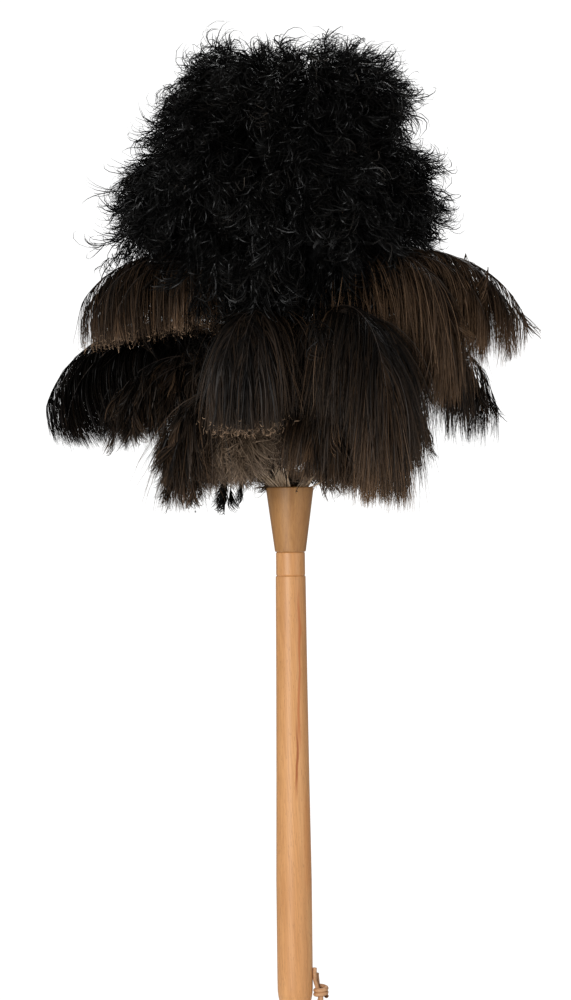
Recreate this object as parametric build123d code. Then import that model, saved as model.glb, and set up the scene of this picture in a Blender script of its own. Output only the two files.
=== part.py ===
from build123d import *
import math
import os

# An ostrich feather duster on a turned beech handle. Millimetres. +Z runs up the handle to the head of
# feathers, and the origin is the centre of the grip. Angles about Z start at +X and turn towards +Y.

# Handle and cone: radii and heights of the two turned pieces
GRIP_R = 16.0
GRIP_HALF = 36.0
TAPER_MID_R, TAPER_MID_Z = 14.55, 160.0
NECK_R = 13.45
COLLAR_R = 13.05
COLLAR_BOTTOM, COLLAR_TOP = 310.0, 331.2
GROOVE = 0.9
END_ROUND_R = 52.0
END_ROUND_Z = -60.0
END_Z = -94.0
SWELL_R = 15.9
TENON_R, TENON_TOP = 8.0, 346.0
CONE_BOTTOM_R, CONE_TOP_R = 13.95, 21.5
CONE_TOP = 389.7
CUP_R, CUP_FLOOR = 15.5, 366.0
SOCKET_TOP = 352.0

# Core: the dowel that the plumes are tied to, and the twine round their quills
DOWEL_R, DOWEL_TOP = 5.0, 640.0
GLUE_GAP = 0.05
GLUE_TOP = 372.0
BINDING_IN_R, BINDING_OUT_R, BINDING_LENGTH = 7.6, 9.4, 12.0
BINDING_BULGE = 1.0
QUILL_R = 1.0
QUILL_ON_DOWEL_R = 6.3
QUILL_BEND_R = 6.0
QUILL_INTO_VANE = 0.6
QUILL_OFF_CUP_WALL = 2.5
QUILL_ABOVE_CUP = 4.0
QUILL_GLUE_GAP = 0.3

# Vanes: each is a thin leaf, a drooping arch with this half thickness at its edges and at its crest
EDGE_HALF = 1.0
CREST_HALF = 2.6
VANE_START_R = 28.0
VANE_START_HALF = 5.0

# Thong: a round leather lace through a cross-hole near the handle's end
LACE_D = 4.0
HOLE_R = 2.3
HOLE_Z = -78.0
KNOT_CENTRE = (23.5, -1.6, -64.5)
KNOT_HALF = (6.6, 6.2, 6.4)
TAIL_R = 1.9
LACE_ROUTE = [
    (23.0, 0.0, -64.0),
    (22.5, 0.0, -73.5),
    (17.5, 0.0, -78.0),
    (-18.5, 0.0, -78.0),
    (-24.0, 0.4, -84.0),
    (-24.6, 1.6, -98.0),
    (-23.8, 2.6, -122.0),
    (-21.0, 3.8, -150.0),
    (-13.6, 4.2, -176.0),
    (1.0, 3.4, -187.0),
    (15.2, 1.2, -175.0),
    (21.6, -1.6, -148.0),
    (23.4, -3.6, -118.0),
    (23.6, -4.8, -90.0),
    (23.2, -4.4, -66.0),
]


class Tier:
    """Plumes tied under one binding: the binding's height, and where their quills pass into the vanes."""

    def __init__(self, binding_z, start_r, start_z):
        self.binding_z = binding_z
        self.start_r = start_r
        self.start_z = start_z


BASE = Tier(None, 28.0, 410.0)
UNDER = Tier(398.0, 28.0, 440.0)
LOWER = Tier(436.0, 28.0, 478.0)
SKIRT = Tier(474.0, 28.0, 520.0)
WAIST = Tier(512.0, 28.0, 562.0)
SHOULDER = Tier(550.0, 28.0, 612.0)
CROWN = Tier(590.0, 28.0, 660.0)
CROWN_TOP = Tier(632.0, 14.0, 670.0)

# Named plumes: (name, tier, angle, (crest radius, height), (tip radius, height), half width)
NAMED_PLUMES = [
    ("front_left_down", BASE, 242, (72, 440), (110, 396), 34),
    ("right_down", BASE, 328, (58, 428), (82, 396), 30),
    ("back_right_down", BASE, 48, (60, 430), (86, 394), 32),
    ("back_left_down", BASE, 128, (60, 430), (86, 394), 32),
    ("left_down", BASE, 190, (58, 426), (80, 396), 26),
    ("left_under_plume", UNDER, 198, (102, 502), (160, 424), 44),
    ("front_left_under_plume", UNDER, 222, (88, 470), (126, 384), 26),
    ("front_under_plume", UNDER, 288, (88, 474), (132, 392), 44),
    ("right_under_plume", UNDER, 343, (84, 480), (120, 420), 34),
    ("back_right_under_plume", UNDER, 52, (100, 494), (158, 404), 46),
    ("back_left_under_plume", UNDER, 122, (100, 494), (158, 404), 46),
    ("left_lower_plume", LOWER, 183, (150, 532), (227, 446), 46),
    ("right_lower_plume", LOWER, 340, (120, 530), (176, 442), 40),
    ("back_right_lower_plume", LOWER, 30, (145, 532), (208, 432), 50),
    ("back_lower_plume", LOWER, 86, (145, 532), (206, 426), 54),
    ("back_left_lower_plume", LOWER, 138, (145, 532), (208, 432), 48),
    ("front_left_plume", LOWER, 257, (112, 540), (178, 440), 52),
    ("front_right_plume", LOWER, 294, (112, 540), (174, 378), 50),
    ("left_upper_plume", SKIRT, 203, (125, 592), (206, 520), 54),
    ("right_upper_plume", SKIRT, 344, (130, 592), (218, 508), 54),
    ("back_right_upper_plume", SKIRT, 42, (128, 592), (210, 512), 56),
    ("back_upper_plume", SKIRT, 95, (128, 592), (208, 506), 56),
    ("back_left_upper_plume", SKIRT, 150, (128, 592), (208, 514), 56),
    ("crown_right_plume", CROWN_TOP, 0, (44, 738), (100, 782), 46),
    ("crown_back_plume", CROWN_TOP, 90, (44, 738), (100, 782), 46),
    ("crown_left_plume", CROWN_TOP, 180, (44, 738), (100, 782), 46),
    ("crown_front_plume", CROWN_TOP, 270, (44, 738), (100, 782), 46),
]

# Rings of like plumes: (name, tier, count, first angle, crest, tip, half width)
PLUME_RINGS = [
    ("waist_plume", WAIST, 6, 270, (98, 632), (153, 602), 58),
    ("shoulder_plume", SHOULDER, 6, 240, (94, 682), (151, 656), 56),
    ("crown_side_plume", CROWN, 5, 270, (92, 726), (147, 708), 52),
]

# The tuft in the middle of the crown
TUFT_R, TUFT_BOTTOM, TUFT_TOP = 9.0, 641.0, 800.0


def turned(*edges):
    """A solid turned about Z from a closed outline of edges drawn as (radius, height)."""
    return revolve(make_face([Plane.XZ * edge for edge in edges]), Axis.Z)


def handle():
    """The handle in one piece: rounded end, straight grip, long hollow taper, collar and tenon."""
    end_r = GRIP_R - END_ROUND_R + math.sqrt(END_ROUND_R**2 - (END_ROUND_Z - END_Z) ** 2)
    mid_z = (END_ROUND_Z + END_Z) / 2
    mid_r = SWELL_R - END_ROUND_R + math.sqrt(END_ROUND_R**2 - (END_ROUND_Z - mid_z) ** 2)
    neck = (NECK_R, COLLAR_BOTTOM - GROOVE)
    body = turned(
        Polyline((0, TENON_TOP), (0, END_Z), (end_r, END_Z)),
        ThreePointArc((end_r, END_Z), (mid_r, mid_z), (SWELL_R, END_ROUND_Z)),
        Polyline((SWELL_R, END_ROUND_Z), (GRIP_R, -GRIP_HALF), (GRIP_R, GRIP_HALF)),
        ThreePointArc((GRIP_R, GRIP_HALF), (TAPER_MID_R, TAPER_MID_Z), neck),
        Polyline(
            neck,
            (NECK_R - GROOVE, COLLAR_BOTTOM),
            (COLLAR_R, COLLAR_BOTTOM + GROOVE),
            (COLLAR_R, COLLAR_TOP - GROOVE),
            (COLLAR_R - GROOVE, COLLAR_TOP),
            (TENON_R, COLLAR_TOP),
            (TENON_R, TENON_TOP),
            (0, TENON_TOP),
        ),
    )
    hole = Pos(0, 0, HOLE_Z) * Rot(0, 90, 0) * Cylinder(HOLE_R, 3 * GRIP_R)
    return body - hole


def socket_cone():
    """The turned cone: a socket for the tenon, a cup for the quills, and the dowel's hole between them."""
    bottom = COLLAR_TOP + GLUE_GAP
    socket_r = TENON_R + GLUE_GAP
    hole_r = DOWEL_R + GLUE_GAP
    return turned(
        Polyline(
            (socket_r, bottom),
            (CONE_BOTTOM_R - GROOVE, bottom),
            (CONE_BOTTOM_R, bottom + GROOVE),
            (CONE_TOP_R, CONE_TOP - GROOVE),
            (CONE_TOP_R - GROOVE, CONE_TOP),
            (CUP_R, CONE_TOP),
            (CUP_R, CUP_FLOOR),
            (hole_r, CUP_FLOOR),
            (hole_r, SOCKET_TOP),
            (socket_r, SOCKET_TOP),
            (socket_r, bottom),
        )
    )


def ring(inner_r, outer_r, bottom, top):
    """A plain ring about Z."""
    corners = [(inner_r, bottom), (outer_r, bottom), (outer_r, top), (inner_r, top)]
    return turned(Polyline(*corners, corners[0]))


def core_dowel():
    """The dowel that stands in the cone and carries every tied plume."""
    corners = [(0, SOCKET_TOP), (DOWEL_R, SOCKET_TOP), (DOWEL_R, DOWEL_TOP), (0, DOWEL_TOP)]
    return turned(Polyline(*corners, corners[0]))


def twine_binding(middle_z):
    """One wound binding: a barrel of twine round the quills of a tier."""
    bottom = middle_z - BINDING_LENGTH / 2
    top = middle_z + BINDING_LENGTH / 2
    outer_top, outer_bottom = (BINDING_OUT_R, top), (BINDING_OUT_R, bottom)
    return turned(
        Polyline(outer_top, (BINDING_IN_R, top), (BINDING_IN_R, bottom), outer_bottom),
        ThreePointArc(outer_bottom, (BINDING_OUT_R + BINDING_BULGE, middle_z), outer_top),
    )


def off_arc(centre, point, step):
    """A point of an arc moved straight out from the arc's centre by a step."""
    arm = Vector(*point) - centre
    return centre + arm * ((arm.length + step) / arm.length)


def vane_shell(start, crest, tip):
    """Half a turn of a drooping arch: from its start it rises to the crest, then hangs to the tip."""
    centre = ThreePointArc(start, crest, tip).arc_center
    outer = ThreePointArc(
        off_arc(centre, start, EDGE_HALF),
        off_arc(centre, crest, CREST_HALF),
        off_arc(centre, tip, EDGE_HALF),
    )
    inner = ThreePointArc(
        off_arc(centre, tip, -EDGE_HALF),
        off_arc(centre, crest, -CREST_HALF),
        off_arc(centre, start, -EDGE_HALF),
    )
    edges = [outer, Line(outer @ 1, inner @ 0), inner, Line(inner @ 1, outer @ 0)]
    section = make_face([Plane.XZ * edge for edge in edges])
    return Rot(0, 0, -90) * revolve(section, Axis.Z, 180)


def leaf_outline(start_r, reach, half_width):
    """A leaf seen from above: narrow at its quill, widest just before its rounded tip."""
    widest_r = reach - 0.7 * half_width
    inner_end = [(start_r, VANE_START_HALF), (start_r, -VANE_START_HALF)]
    return make_face(
        [
            Polyline((widest_r, half_width), *inner_end, (widest_r, -half_width)),
            ThreePointArc((widest_r, -half_width), (reach, 0), (widest_r, half_width)),
        ]
    )


def vane(start, crest, tip, half_width):
    """A leaf-shaped piece cut from its shell, lying over +X."""
    shell = vane_shell(start, crest, tip)
    box = shell.bounding_box()
    leaf = leaf_outline(start[0] - 3 * EDGE_HALF, box.max.X + EDGE_HALF, half_width)
    return shell & (Pos(0, 0, box.min.Z - 1) * extrude(leaf, box.max.Z - box.min.Z + 2))


def quill_points(tier):
    """Where a quill starts beside the core or in the cup, bends away, and enters its vane."""
    end = (tier.start_r + QUILL_INTO_VANE, 0, tier.start_z + QUILL_INTO_VANE)
    if tier is BASE:
        in_cup = CUP_R - QUILL_OFF_CUP_WALL
        return [(in_cup, 0, GLUE_TOP + QUILL_GLUE_GAP), (in_cup, 0, CONE_TOP + QUILL_ABOVE_CUP), end]
    lower = tier.binding_z - 0.8 * BINDING_LENGTH
    upper = tier.binding_z + 0.8 * BINDING_LENGTH
    return [(QUILL_ON_DOWEL_R, 0, lower), (QUILL_ON_DOWEL_R, 0, upper), end]


def quill(tier):
    """A quill along two straight runs joined by one tangent bend."""
    path = FilletPolyline(*quill_points(tier), radius=QUILL_BEND_R)
    return sweep(Plane(path @ 0, z_dir=path % 0) * Circle(QUILL_R), path=path)


def plume(tier, angle, crest, tip, half_width):
    """One plume: its vane and its quill in one piece, turned to its place round the core."""
    leaf = vane((tier.start_r, tier.start_z), crest, tip, half_width)
    return Rot(0, 0, angle) * (leaf + quill(tier))


def crown_tuft():
    """The upright tuft in the middle of the crown, a slim spindle on the dowel's top."""
    middle = (TUFT_BOTTOM + TUFT_TOP) / 2
    return turned(
        ThreePointArc((1, TUFT_BOTTOM), (TUFT_R, middle), (1, TUFT_TOP)),
        Polyline((1, TUFT_TOP), (0, TUFT_TOP), (0, TUFT_BOTTOM), (1, TUFT_BOTTOM)),
    )


def corner_radii(points):
    """The largest tangent arc that each corner's two runs leave room for."""
    spots = [Vector(*point) for point in points]
    radii = []
    for before, corner, after in zip(spots, spots[1:], spots[2:]):
        turn = (corner - before).get_angle(after - corner)
        shorter = min((corner - before).length, (after - corner).length)
        radii.append(0.45 * shorter / math.tan(math.radians(turn) / 2))
    return radii


def lace(points, radius):
    """A lace along straight runs joined by tangent arcs."""
    path = FilletPolyline(*points, radius=corner_radii(points))
    return sweep(Plane(path @ 0, z_dir=path % 0) * Circle(radius), path=path), path.length


def thong_knot():
    """The overhand knot that joins the lace's two ends, a plain rounded lump."""
    return Pos(*KNOT_CENTRE) * scale(Sphere(1), by=KNOT_HALF)


def thong_tail(points):
    """One cut end of the lace, standing out of the knot beside the handle."""
    return lace(points, TAIL_R)[0]


def thong_tails():
    """The knot's two tails, one before the other."""
    front = [(20.4, -3.4, -62.0), (19.2, -3.6, -54.0), (18.7, -3.3, -42.8)]
    back = [(20.2, 1.6, -62.0), (19.4, 2.4, -56.0), (18.9, 3.8, -48.0)]
    return Compound(children=[thong_tail(front), thong_tail(back)])


def save(solid, name):
    """Write one sub-part to its own file."""
    export_step(solid, f"parts/{name}.step")


def save_plumes():
    """Write every plume: the named ones, the rings of like ones and the tuft."""
    for name, tier, angle, crest, tip, half_width in NAMED_PLUMES:
        save(plume(tier, angle, crest, tip, half_width), name)
    for name, tier, count, first_angle, crest, tip, half_width in PLUME_RINGS:
        for index in range(count):
            angle = first_angle + index * 360 / count
            save(plume(tier, angle, crest, tip, half_width), f"{name}_{index + 1}")
    save(crown_tuft(), "crown_centre_tuft")


def save_bindings():
    """Write the bindings, from the lowest tier to the highest."""
    for name, tier in (
        ("under", UNDER),
        ("lower", LOWER),
        ("skirt", SKIRT),
        ("waist", WAIST),
        ("shoulder", SHOULDER),
        ("crown", CROWN),
        ("top", CROWN_TOP),
    ):
        save(twine_binding(tier.binding_z), f"{name}_binding")


def main():
    os.makedirs("parts", exist_ok=True)
    save(handle(), "handle")
    save(socket_cone(), "socket_cone")
    save(core_dowel(), "core_dowel")
    save(ring(DOWEL_R + GLUE_GAP, CUP_R - GLUE_GAP, CUP_FLOOR + GLUE_GAP, GLUE_TOP), "potting_glue")
    save_bindings()
    save_plumes()
    loop, length = lace(LACE_ROUTE, LACE_D / 2)
    save(loop, "thong_loop")
    save(thong_knot(), "thong_knot")
    save(thong_tails(), "thong_tails")
    section = math.pi * (LACE_D / 2) ** 2
    print("lace corner radii:", [round(radius, 1) for radius in corner_radii(LACE_ROUTE)])
    print(f"lace length {length:.0f}, section times length {section * length:.0f}, volume {loop.volume:.0f}")


main()
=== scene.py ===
import math
from functools import partial

import bpy
import numpy as np
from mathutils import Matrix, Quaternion, Vector


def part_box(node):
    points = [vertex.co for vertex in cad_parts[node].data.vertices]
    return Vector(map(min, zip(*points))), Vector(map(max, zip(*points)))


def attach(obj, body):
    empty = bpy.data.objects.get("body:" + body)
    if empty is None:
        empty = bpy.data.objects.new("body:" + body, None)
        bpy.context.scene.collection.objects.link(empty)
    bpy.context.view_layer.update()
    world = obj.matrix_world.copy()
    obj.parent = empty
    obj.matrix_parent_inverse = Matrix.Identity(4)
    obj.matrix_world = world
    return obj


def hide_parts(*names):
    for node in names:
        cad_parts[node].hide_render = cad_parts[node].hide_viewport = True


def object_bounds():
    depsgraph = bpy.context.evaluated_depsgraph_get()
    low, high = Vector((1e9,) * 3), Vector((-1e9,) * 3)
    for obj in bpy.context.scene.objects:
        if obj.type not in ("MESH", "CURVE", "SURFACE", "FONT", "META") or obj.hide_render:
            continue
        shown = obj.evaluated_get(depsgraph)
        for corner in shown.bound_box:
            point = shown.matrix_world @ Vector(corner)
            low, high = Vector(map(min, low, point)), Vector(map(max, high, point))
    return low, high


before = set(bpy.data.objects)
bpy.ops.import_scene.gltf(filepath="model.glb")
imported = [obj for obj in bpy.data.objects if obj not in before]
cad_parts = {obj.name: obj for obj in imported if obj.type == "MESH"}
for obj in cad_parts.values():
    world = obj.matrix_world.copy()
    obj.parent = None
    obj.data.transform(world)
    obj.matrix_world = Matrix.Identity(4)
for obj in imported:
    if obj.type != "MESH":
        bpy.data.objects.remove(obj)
CAD_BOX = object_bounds()
RNG = np.random.default_rng(11)
MM = 0.001
UP = np.array((0.0, 0.0, 1.0))
DOWN = -UP
LEVEL = np.array((1.0, 1.0, 0.0))
DUSTER, THONG = "duster", "hanging_thong"

# ---------- camera, light and floor

CAMERA_DISTANCE = 3.0
CAMERA_HEIGHT = 0.378
CAMERA_SIDE = -0.0039
CAMERA_ROLL = math.radians(0.63)
SEEN_HEIGHT = 0.900
SENSOR = 36.0
FLOOR_R = 1.1
FLOOR_DROP = 0.06
WORLD_ON_SURFACES, WORLD_TO_LENS = 0.28, 1.1
LIGHTS = {
    # name: place, target, size and power
    "key_left": ((-1.35, -2.7, 0.95), (0, 0, 0.4), 1.3, 66),
    "fill_right": ((2.2, -1.8, 0.7), (0, 0, 0.4), 1.3, 17),
    "low_front": ((-0.9, -2.6, -0.05), (0, 0, 0.35), 0.8, 8),
    "rim_top": ((0.5, 1.6, 2.4), (0, 0, 0.6), 1.4, 40),
}


def make_camera():
    """A level camera that looks along +Y, rolled slightly, so that the handle leans."""
    data = bpy.data.cameras.new("camera")
    data.sensor_width = SENSOR
    data.lens = SENSOR * CAMERA_DISTANCE / SEEN_HEIGHT
    data.clip_end = 50
    camera = bpy.data.objects.new("camera", data)
    camera.location = (CAMERA_SIDE, -CAMERA_DISTANCE, CAMERA_HEIGHT)
    camera.rotation_mode = "QUATERNION"
    level = Quaternion((1, 0, 0), math.radians(90))
    camera.rotation_quaternion = Quaternion((0, 1, 0), CAMERA_ROLL) @ level
    bpy.context.scene.collection.objects.link(camera)
    bpy.context.scene.camera = camera


def make_floor():
    """A pale round floor below the thong."""
    height = CAD_BOX[0].z - FLOOR_DROP
    turn = np.linspace(0, 2 * math.pi, 96, endpoint=False)
    corners = [(FLOOR_R * math.cos(a), FLOOR_R * math.sin(a), height) for a in turn]
    mesh = bpy.data.meshes.new("floor")
    mesh.from_pydata(corners, [], [tuple(range(len(corners)))])
    floor = bpy.data.objects.new("floor", mesh)
    bpy.context.scene.collection.objects.link(floor)
    mesh.materials.append(plain_material("floor_white", (0.93, 0.93, 0.93), 0.9))


def plain_material(name, colour, roughness):
    """A matt stage material."""
    material, _, _, shader = new_material(name)
    set_inputs(shader, Base_Color=(*colour, 1), Roughness=roughness)
    return material


def area_light(name, place, target, size, power):
    """A soft box that points at a target."""
    data = bpy.data.lights.new(name, "AREA")
    data.shape = "SQUARE"
    data.size = size
    data.energy = power
    light = bpy.data.objects.new(name, data)
    light.location = place
    aim = Vector(target) - Vector(place)
    light.rotation_mode = "QUATERNION"
    light.rotation_quaternion = aim.to_track_quat("-Z", "Y")
    bpy.context.scene.collection.objects.link(light)


def make_light():
    """White surroundings for the lens, softer ones for the surfaces, and the soft boxes."""
    world = bpy.data.worlds.new("studio")
    world.use_nodes = True
    nodes, links = world.node_tree.nodes, world.node_tree.links
    background = nodes["Background"]
    set_inputs(background, Color=(1, 1, 1, 1))
    path = nodes.new("ShaderNodeLightPath")
    strength = nodes.new("ShaderNodeMapRange")
    set_inputs(strength, To_Min=WORLD_ON_SURFACES, To_Max=WORLD_TO_LENS)
    links.new(path.outputs["Is Camera Ray"], strength.inputs["Value"])
    links.new(strength.outputs["Result"], background.inputs["Strength"])
    bpy.context.scene.world = world
    bpy.context.scene.view_settings.view_transform = "Standard"
    for name, setting in LIGHTS.items():
        area_light(name, *setting)


# ---------- materials


def new_material(name):
    """A material, its nodes, its links and its shader."""
    material = bpy.data.materials.new(name)
    material.use_nodes = True
    tree = material.node_tree
    return material, tree.nodes, tree.links, tree.nodes["Principled BSDF"]


def set_inputs(node, **values):
    """Constants on a node's own sockets, whose names have underscores here for spaces."""
    for name, value in values.items():
        node.inputs[name.replace("_", " ")].default_value = value


def ramp(nodes, stops):
    """A colour ramp from (position, (r, g, b)) stops."""
    node = nodes.new("ShaderNodeValToRGB")
    elements = node.color_ramp.elements
    while len(elements) < len(stops):
        elements.new(0.5)
    for element, (position, colour) in zip(elements, stops):
        element.position = position
        element.color = (*colour, 1)
    return node


def ramped(nodes, links, value, stops):
    """The colour that a ramp gives a value socket."""
    node = ramp(nodes, stops)
    links.new(value, node.inputs[0])
    return node.outputs[0]


def mix_colour(nodes, links, factor, first, second, blend="MIX"):
    """A colour mix: each input is a socket or a constant."""
    node = nodes.new("ShaderNodeMix")
    node.data_type = "RGBA"
    node.blend_type = blend
    for socket, value in ((node.inputs[0], factor), (node.inputs[6], first), (node.inputs[7], second)):
        if isinstance(value, bpy.types.NodeSocket):
            links.new(value, socket)
        else:
            socket.default_value = value if isinstance(value, float) else (*value, 1)
    return node.outputs[2]


def math_node(nodes, links, operation, first, second=0.0, clamp=False):
    """A math node: each input is a socket or a number."""
    node = nodes.new("ShaderNodeMath")
    node.operation = operation
    node.use_clamp = clamp
    for socket, value in ((node.inputs[0], first), (node.inputs[1], second)):
        if isinstance(value, bpy.types.NodeSocket):
            links.new(value, socket)
        else:
            socket.default_value = value
    return node.outputs[0]


def add_bump(nodes, links, shader, height, distance, strength=1.0):
    """Bumps on a shader from a height socket."""
    bump = nodes.new("ShaderNodeBump")
    set_inputs(bump, Strength=strength, Distance=distance)
    links.new(height, bump.inputs["Height"])
    links.new(bump.outputs[0], shader.inputs["Normal"])


def barb_material(name, along, tones, roughness, specular):
    """Barbs: a colour along each barb, times a tone that differs from barb to barb; on black barbs the
    highest tones are painted glints.
    """
    material, nodes, links, shader = new_material(name)
    uv = nodes.new("ShaderNodeUVMap")
    uv.uv_map = BAKE_UV
    split = nodes.new("ShaderNodeSeparateXYZ")
    links.new(uv.outputs["UV"], split.inputs[0])
    tint = ramped(nodes, links, split.outputs["Y"], along)
    tone = ramped(nodes, links, split.outputs["X"], tones)
    colour = mix_colour(nodes, links, 1.0, tint, tone, "MULTIPLY")
    links.new(colour, shader.inputs["Base Color"])
    set_inputs(shader, Roughness=roughness, Specular_IOR_Level=specular)
    return material


def horn_material(name, dark, light):
    """Horny quills and shafts, streaked lighter and darker."""
    material, nodes, links, shader = new_material(name)
    coords = nodes.new("ShaderNodeTexCoord")
    noise = nodes.new("ShaderNodeTexNoise")
    set_inputs(noise, Scale=60)
    links.new(coords.outputs["Object"], noise.inputs["Vector"])
    tint = ramped(nodes, links, noise.outputs["Fac"], [(0.3, dark), (0.7, light)])
    links.new(tint, shader.inputs["Base Color"])
    set_inputs(shader, Roughness=0.4)
    return material


def stretched_noise(nodes, links, vector, scale, detail, distortion=0.0):
    """A noise texture on a coordinate stretched by a scale for each axis."""
    mapping = nodes.new("ShaderNodeMapping")
    set_inputs(mapping, Scale=scale)
    links.new(vector, mapping.inputs["Vector"])
    noise = nodes.new("ShaderNodeTexNoise")
    set_inputs(noise, Scale=1, Detail=detail, Distortion=distortion)
    links.new(mapping.outputs[0], noise.inputs["Vector"])
    return noise.outputs["Fac"]


STREAK_WANDER = 0.006
STREAK_CORE = 1.7
STREAK_FADE = 40


def streak_mask(nodes, links, coords, centre, lean, half_width, low, high):
    """A mask for one narrow streak on the front: a line in X that leans with Z, faded at both ends."""
    step = partial(math_node, nodes, links)
    split = nodes.new("ShaderNodeSeparateXYZ")
    links.new(coords, split.inputs[0])
    x, y, z = (split.outputs[axis] for axis in "XYZ")
    wobble = stretched_noise(nodes, links, coords, (60, 60, 22), 2)
    drift = step("MULTIPLY", step("SUBTRACT", wobble, 0.5), STREAK_WANDER)
    line = step("MULTIPLY_ADD", z, lean)
    line.node.inputs[2].default_value = centre
    offset = step("SUBTRACT", x, step("ADD", line, drift))
    across = step("DIVIDE", step("ABSOLUTE", offset), half_width)
    inside = step("MULTIPLY", step("SUBTRACT", 1.0, across, clamp=True), STREAK_CORE, clamp=True)
    rise = step("MULTIPLY", step("SUBTRACT", z, low), STREAK_FADE, clamp=True)
    fall = step("MULTIPLY", step("SUBTRACT", high, z), STREAK_FADE, clamp=True)
    mask = step("MULTIPLY", inside, step("MULTIPLY", rise, fall))
    return step("MULTIPLY", mask, step("LESS_THAN", y, 0.0))


def wood_material(name, light, dark, fleck, slant, streaks=()):
    """Waxed beech: soft bands and fine lines along Z, short flecks, and single darker streaks."""
    material, nodes, links, shader = new_material(name)
    coords = nodes.new("ShaderNodeTexCoord")
    turn = nodes.new("ShaderNodeMapping")
    set_inputs(turn, Rotation=(0, slant, 0.4))
    links.new(coords.outputs["Object"], turn.inputs["Vector"])
    vector = turn.outputs[0]
    broad = stretched_noise(nodes, links, vector, (95, 95, 4.0), 4, 0.8)
    fine = stretched_noise(nodes, links, vector, (800, 800, 24), 3)
    pores = stretched_noise(nodes, links, vector, (1300, 1300, 170), 1)
    bands = ramped(nodes, links, broad, [(0.30, dark), (0.70, light)])
    lines = ramped(nodes, links, fine, [(0.35, (0.86, 0.83, 0.79)), (0.62, (1, 1, 1))])
    colour = mix_colour(nodes, links, 1.0, bands, lines, "MULTIPLY")
    spots = ramped(nodes, links, pores, [(0.31, (1, 1, 1)), (0.37, (0, 0, 0))])
    spots = math_node(nodes, links, "MULTIPLY", spots, 0.40)
    colour = mix_colour(nodes, links, spots, colour, fleck)
    for strength, tint, row in streaks:
        mask = streak_mask(nodes, links, coords.outputs["Object"], *row)
        mask = math_node(nodes, links, "MULTIPLY", mask, strength)
        colour = mix_colour(nodes, links, mask, colour, tint)
    links.new(colour, shader.inputs["Base Color"])
    wax_finish(nodes, links, shader, fine)
    return material


def wax_finish(nodes, links, shader, grain):
    """A thin wax coat, whose roughness and bump follow the grain."""
    gloss = nodes.new("ShaderNodeMapRange")
    set_inputs(gloss, To_Min=0.40, To_Max=0.54)
    links.new(grain, gloss.inputs["Value"])
    links.new(gloss.outputs[0], shader.inputs["Roughness"])
    add_bump(nodes, links, shader, grain, 0.0004, 0.10)
    set_inputs(shader, Coat_Weight=0.10, Coat_Roughness=0.35)


def twine_material():
    """Waxed twine: dark brown, wound in fine turns."""
    material, nodes, links, shader = new_material("twine_waxed")
    coords = nodes.new("ShaderNodeTexCoord")
    wave = nodes.new("ShaderNodeTexWave")
    wave.bands_direction = "Z"
    set_inputs(wave, Scale=260, Distortion=1.2)
    links.new(coords.outputs["Object"], wave.inputs["Vector"])
    brown = [(0.1, (0.035, 0.020, 0.012)), (0.9, (0.13, 0.080, 0.045))]
    links.new(ramped(nodes, links, wave.outputs["Fac"], brown), shader.inputs["Base Color"])
    set_inputs(shader, Roughness=0.7)
    add_bump(nodes, links, shader, wave.outputs["Fac"], 0.0006)
    return material


def leather_material(name, colour, edge):
    """Vegetable-tanned lace: a waxy tan with darker creases."""
    material, nodes, links, shader = new_material(name)
    coords = nodes.new("ShaderNodeTexCoord")
    blotch = nodes.new("ShaderNodeTexNoise")
    set_inputs(blotch, Scale=180, Detail=5)
    links.new(coords.outputs["Object"], blotch.inputs["Vector"])
    grain = nodes.new("ShaderNodeTexVoronoi")
    set_inputs(grain, Scale=1600)
    links.new(coords.outputs["Object"], grain.inputs["Vector"])
    tint = ramped(nodes, links, blotch.outputs["Fac"], [(0.35, edge), (0.62, colour)])
    links.new(tint, shader.inputs["Base Color"])
    set_inputs(shader, Roughness=0.55)
    add_bump(nodes, links, shader, grain.outputs["Distance"], 0.0003, 0.35)
    return material


# ---------- mesh tools

BAKE_UV = "OFBake"
TONE_STEPS = 64


def unit(vectors):
    """Vectors scaled to length 1."""
    return vectors / np.maximum(np.linalg.norm(vectors, axis=-1, keepdims=True), 1e-9)


def grid_mesh(name, verts, quads, uvs, material_index=None):
    """A smooth mesh from arrays of vertices, quads and a UV for each face corner."""
    mesh = bpy.data.meshes.new(name)
    mesh.vertices.add(len(verts))
    mesh.vertices.foreach_set("co", np.ascontiguousarray(verts, np.float32).ravel())
    mesh.loops.add(len(quads) * 4)
    mesh.loops.foreach_set("vertex_index", quads.astype(np.int32).ravel())
    mesh.polygons.add(len(quads))
    mesh.polygons.foreach_set("loop_start", np.arange(0, len(quads) * 4, 4, dtype=np.int32))
    if material_index is not None:
        mesh.polygons.foreach_set("material_index", material_index.astype(np.int32))
    mesh.update(calc_edges=True)
    layer = mesh.uv_layers.new(name=BAKE_UV)
    layer.data.foreach_set("uv", np.ascontiguousarray(uvs, np.float32).ravel())
    mesh.polygons.foreach_set("use_smooth", np.ones(len(quads), bool))
    mesh.update()
    return mesh


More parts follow.
